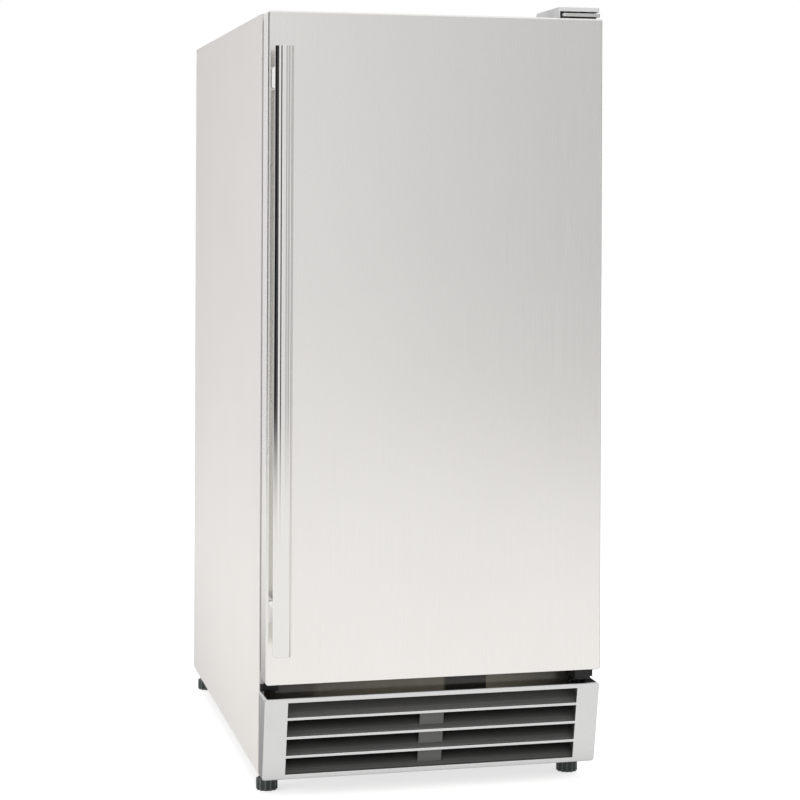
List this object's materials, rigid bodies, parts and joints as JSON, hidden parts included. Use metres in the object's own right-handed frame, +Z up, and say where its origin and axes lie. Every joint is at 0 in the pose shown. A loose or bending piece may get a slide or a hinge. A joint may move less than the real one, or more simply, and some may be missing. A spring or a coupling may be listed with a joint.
{
  "type": "compact refrigerator",
  "caption": "Compact upright refrigerator with a stainless door, a full-height tube handle, a slotted kick grille, wire shelves and levelling feet.",
  "frame": {"origin": "on the floor under the middle of the whole object's box, handle included", "axes": "+X to the right as seen from the front, +Y to the back, +Z up"},
  "size_m": [0.378, 0.6406, 0.8713],
  "materials": {
    "cabinet_paint": "satin light grey powder coat",
    "stainless": "fine vertical brushed",
    "handle_steel": "bright satin",
    "silver_paint": "metallic silver",
    "dark_paint": "semi-gloss dark brown",
    "black_plastic": "fine moulded grain",
    "cover_plastic": "satin light grey",
    "liner_plastic": "smooth white",
    "clear_plastic": "clear moulded",
    "insulation": "closed-cell foam",
    "galvanised": "zinc coated",
    "hinge_steel": "zinc plated",
    "wire_chrome": "polished",
    "aluminium": "mill finish",
    "copper": "drawn copper tube",
    "black_enamel": "gloss black",
    "motor_steel": "pressed steel",
    "rubber": "moulded",
    "gasket": "soft extruded",
    "foot_plastic": "moulded dark grey",
    "lens": "frosted",
    "lamp_glass": "clear bulb"
  },
  "bodies": {
    "cabinet": {"side_panel_left": "cabinet_paint", "side_panel_right": "cabinet_paint", "top_panel": "cabinet_paint", "back_panel": "cabinet_paint", "cabinet_foam": "insulation", "inner_liner": "liner_plastic", "compartment_deck": "galvanised", "sill_rail": "dark_paint", "base_pan": "galvanised", "rear_cover": "dark_paint", "cord_gland": "black_plastic", "kick_grille": "silver_paint", "grille_louvre": "black_plastic", "top_hinge_pad": "black_plastic", "top_hinge_plate": "hinge_steel", "top_hinge_cover": "cover_plastic", "bottom_hinge_bracket": "dark_paint", "bottom_hinge_washer": "black_plastic", "hinge_pins": "hinge_steel", "hinge_screws": "hinge_steel", "spare_hinge_cover": "black_plastic", "control_housing": "liner_plastic", "thermostat_body": "black_plastic", "door_switch_body": "black_plastic", "lamp_lens": "lens", "lamp": "lamp_glass", "evaporator_plate": "aluminium", "drain_tube": "liner_plastic", "drip_tray": "black_plastic", "compressor": "black_enamel", "compressor_mounts": "rubber", "condenser_tube": "copper", "condenser_fins": "aluminium", "fan_shroud": "black_plastic", "fan_motor": "motor_steel", "filter_drier": "copper", "discharge_tube": "copper", "suction_tube": "copper", "capillary_tube": "copper"},
    "door": {"door_skin": "stainless", "door_liner": "liner_plastic", "door_foam": "insulation", "door_gasket": "gasket", "door_bushes": "black_plastic", "handle_bar": "handle_steel", "handle_posts": "handle_steel", "handle_screws": "hinge_steel"},
    "door_rack_bottom": {"door_rack_bottom": "clear_plastic"},
    "door_rack_middle": {"door_rack_middle": "clear_plastic"},
    "door_rack_top": {"door_rack_top": "clear_plastic"},
    "wire_shelf_bottom": {"wire_shelf_bottom": "wire_chrome"},
    "wire_shelf_middle": {"wire_shelf_middle": "wire_chrome"},
    "wire_shelf_top": {"wire_shelf_top": "wire_chrome"},
    "thermostat_knob": {"thermostat_knob": "liner_plastic"},
    "door_switch_plunger": {"door_switch_plunger": "liner_plastic"},
    "condenser_fan": {"condenser_fan": "black_plastic"},
    "foot_front_left": {"foot_front_left": "foot_plastic"},
    "foot_front_right": {"foot_front_right": "foot_plastic"},
    "foot_rear_left": {"foot_rear_left": "foot_plastic"},
    "foot_rear_right": {"foot_rear_right": "foot_plastic"}
  },
  "joints": [
    {"name": "door_swing", "type": "hinge", "parent": "cabinet", "child": "door", "pos_m": [0.17, -0.2523, 0.495], "axis": [0, 0, 1], "range_deg": [0, 115]},
    {"name": "thermostat_turn", "type": "hinge", "parent": "cabinet", "child": "thermostat_knob", "pos_m": [0.038, -0.1867, 0.7945], "axis": [0, 1, 0], "range_deg": [-140, 140]},
    {"name": "door_switch_travel", "type": "slide", "parent": "cabinet", "child": "door_switch_plunger", "axis": [0, -1, 0], "range_m": [0, 0.006]},
    {"name": "condenser_fan_spin", "type": "hinge", "parent": "cabinet", "child": "condenser_fan", "pos_m": [0, -0.0967, 0.07635], "axis": [0, 1, 0], "continuous": true},
    {"name": "shelf_bottom_slide", "type": "slide", "parent": "cabinet", "child": "wire_shelf_bottom", "axis": [0, -1, 0], "range_m": [0, 0.025]},
    {"name": "shelf_middle_slide", "type": "slide", "parent": "cabinet", "child": "wire_shelf_middle", "axis": [0, -1, 0], "range_m": [0, 0.025]},
    {"name": "shelf_top_slide", "type": "slide", "parent": "cabinet", "child": "wire_shelf_top", "axis": [0, -1, 0], "range_m": [0, 0.025]},
    {"name": "rack_bottom_lift", "type": "slide", "parent": "door", "child": "door_rack_bottom", "axis": [0, 0, 1], "range_m": [0, 0.012]},
    {"name": "rack_middle_lift", "type": "slide", "parent": "door", "child": "door_rack_middle", "axis": [0, 0, 1], "range_m": [0, 0.012]},
    {"name": "rack_top_lift", "type": "slide", "parent": "door", "child": "door_rack_top", "axis": [0, 0, 1], "range_m": [0, 0.012]},
    {"name": "foot_front_left_travel", "type": "slide", "parent": "cabinet", "child": "foot_front_left", "axis": [0, 0, -1], "range_m": [0, 0.012]},
    {"name": "foot_front_right_travel", "type": "slide", "parent": "cabinet", "child": "foot_front_right", "axis": [0, 0, -1], "range_m": [0, 0.012]},
    {"name": "foot_rear_left_travel", "type": "slide", "parent": "cabinet", "child": "foot_rear_left", "axis": [0, 0, -1], "range_m": [0, 0.012]},
    {"name": "foot_rear_right_travel", "type": "slide", "parent": "cabinet", "child": "foot_rear_right", "axis": [0, 0, -1], "range_m": [0, 0.012]}
  ],
  "couplings": [
    {"joint": "door_switch_travel", "follows": "door_swing", "m_per_rad": 0.00298}
  ]
}
